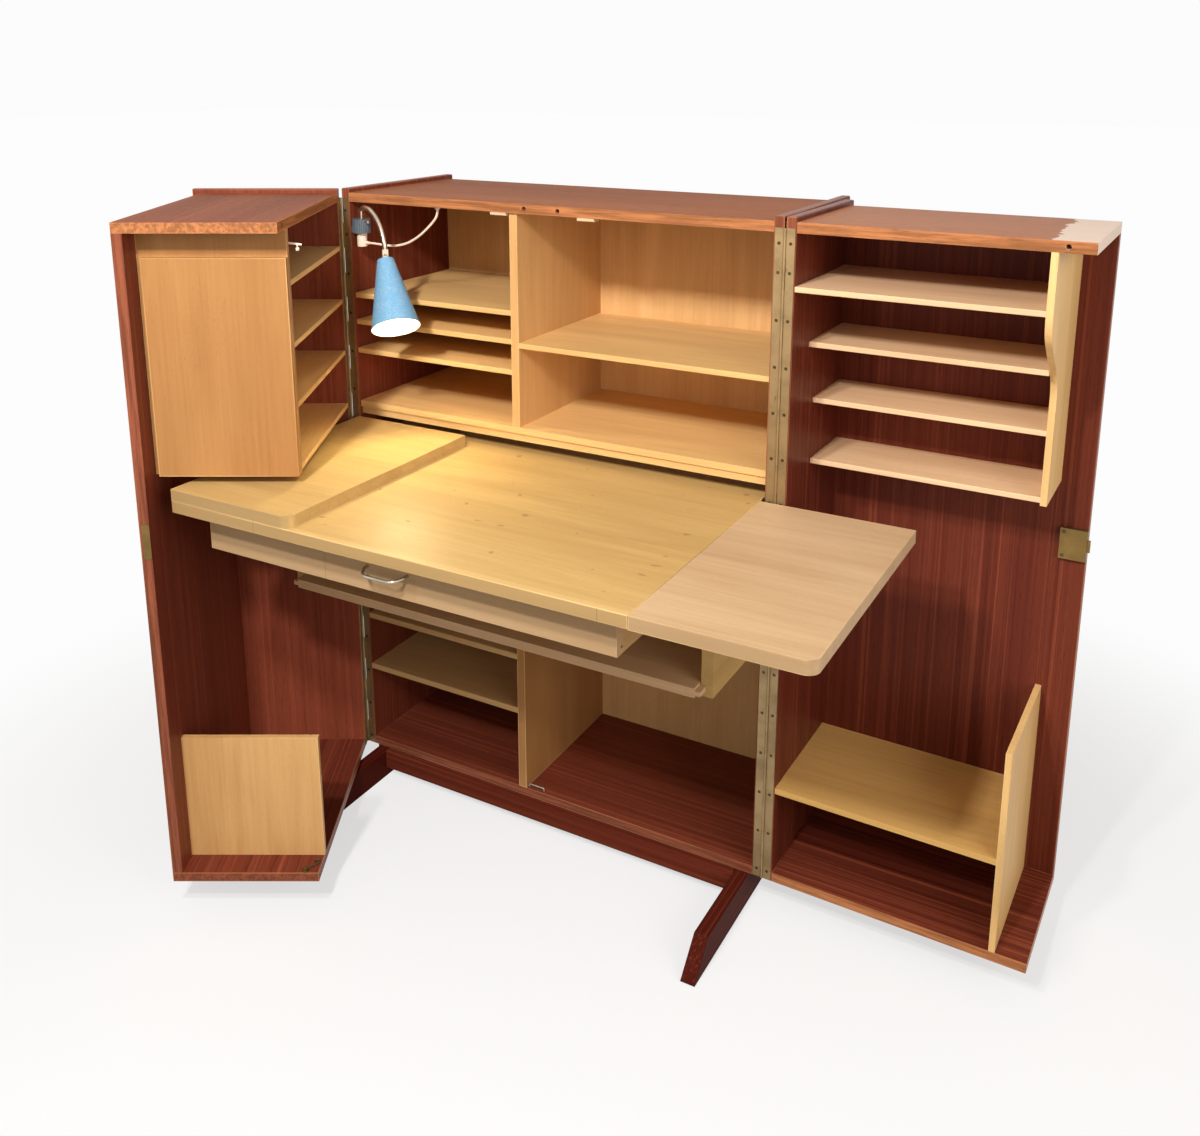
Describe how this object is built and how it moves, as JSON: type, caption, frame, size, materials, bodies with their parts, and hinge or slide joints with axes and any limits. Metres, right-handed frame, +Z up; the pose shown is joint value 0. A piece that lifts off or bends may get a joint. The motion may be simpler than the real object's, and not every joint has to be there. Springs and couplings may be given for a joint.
{
  "type": "folding desk cabinet",
  "caption": "Folding wooden desk cabinet on sledge feet with hinged shelved wings, a desk top with folding leaves, a drawer, a tray and a small lamp.",
  "frame": {"origin": "on the floor under the middle of the box round the open desk, as pictured", "axes": "+X along the cabinet's width to the right, +Y to its back, +Z up"},
  "size_m": [1.5838, 0.8434, 1.234],
  "materials": {
    "mahogany": "satin varnish",
    "beech": "satin varnish",
    "brass": "aged",
    "steel": "aged nickel",
    "blue_enamel": "hammered enamel",
    "white_plastic": "satin",
    "bulb_glass": "frosted"
  },
  "bodies": {
    "carcase": {"carcase_left_side": "mahogany", "carcase_right_side": "mahogany", "carcase_top": "mahogany", "carcase_bottom": "mahogany", "carcase_back": "beech", "upper_floor": "beech", "upper_divider": "beech", "upper_shelves": "beech", "lower_section_top": "beech", "lower_divider": "beech", "lower_left_shelves": "beech", "feet": "mahogany", "stretchers": "mahogany", "bearer_arms": "beech", "top_catches": "white_plastic", "carcase_hinge_leaves": "brass", "hinge_pins": "brass", "hook_staple": "steel", "lamp_base": "blue_enamel", "lamp_plug": "white_plastic", "lamp_cord": "white_plastic", "cord_gland": "white_plastic"},
    "left_wing": {"left_wing_side": "mahogany", "left_wing_top": "mahogany", "left_wing_bottom": "mahogany", "left_wing_door": "mahogany", "left_wing_partition": "beech", "left_wing_panel": "beech", "left_wing_shelves": "beech", "left_wing_lower_divider": "beech", "left_wing_fittings": "brass", "left_wing_catch": "white_plastic", "left_wing_hinge_leaf": "brass"},
    "right_wing": {"right_wing_side": "mahogany", "right_wing_top": "mahogany", "right_wing_bottom": "mahogany", "right_wing_door": "mahogany", "right_wing_upright": "beech", "right_wing_shelves": "beech", "right_wing_lower_divider": "beech", "lock_case": "brass", "right_wing_hinge_leaf": "brass"},
    "bolt": {"lock_bolt": "brass"},
    "desk": {"desk_top": "beech", "desk_hinge_barrels": "brass", "drawer_runners": "beech"},
    "left_leaf": {"left_leaf": "beech", "left_leaf_barrels": "brass"},
    "right_leaf": {"right_leaf": "beech", "right_leaf_barrels": "brass"},
    "drawer": {"drawer_front": "beech", "drawer_box": "beech", "drawer_bottom": "beech", "drawer_pull": "steel"},
    "tray": {"writing_tray": "beech"},
    "hook": {"lower_hook": "brass"},
    "neck": {"lamp_neck": "brass"},
    "shade": {"lamp_shade": "blue_enamel", "lamp_holder": "white_plastic", "lamp_bulb": "bulb_glass"}
  },
  "joints": [
    {"name": "left_wing_hinge", "type": "hinge", "parent": "carcase", "child": "left_wing", "pos_m": [-0.55308, 0.08826, 0.64], "axis": [0, 0, -1], "range_deg": [-3, 118]},
    {"name": "right_wing_hinge", "type": "hinge", "parent": "carcase", "child": "right_wing", "pos_m": [0.33492, 0.08826, 0.64], "axis": [0, 0, 1], "range_deg": [-20, 0.6]},
    {"name": "desk_slide", "type": "slide", "parent": "carcase", "child": "desk", "axis": [0, 1, 0], "range_m": [0, 0.003]},
    {"name": "left_leaf_fold", "type": "hinge", "parent": "desk", "child": "left_leaf", "pos_m": [-0.52938, -0.15034, 0.76765], "axis": [0, -1, 0], "range_deg": [0, 4]},
    {"name": "right_leaf_fold", "type": "hinge", "parent": "desk", "child": "right_leaf", "pos_m": [0.31122, -0.15034, 0.76765], "axis": [0, -1, 0], "range_deg": [0, 180]},
    {"name": "drawer_slide", "type": "slide", "parent": "desk", "child": "drawer", "axis": [0, -1, 0], "range_m": [0, 0.3]},
    {"name": "tray_slide", "type": "slide", "parent": "carcase", "child": "tray", "axis": [0, -1, 0], "range_m": [0, 0.25]},
    {"name": "lamp_swivel", "type": "hinge", "parent": "carcase", "child": "neck", "pos_m": [-0.51708, 0.10266, 1.176], "axis": [0, 0, -1], "range_deg": [0, 20]},
    {"name": "shade_tilt", "type": "hinge", "parent": "neck", "child": "shade", "pos_m": [-0.41689, 0.0462, 1.118], "axis": [0.6428, 0.766, 0], "range_deg": [0, 20]},
    {"name": "lock_bolt_slide", "type": "slide", "parent": "right_wing", "child": "bolt", "axis": [0.9998, -0.0192, 0], "range_m": [-0.005, 0.005]},
    {"name": "hook_swivel", "type": "hinge", "parent": "left_wing", "child": "hook", "pos_m": [-0.36688, -0.30417, 0.079], "axis": [0, 0, 1], "range_deg": [-30, 60]}
  ]
}
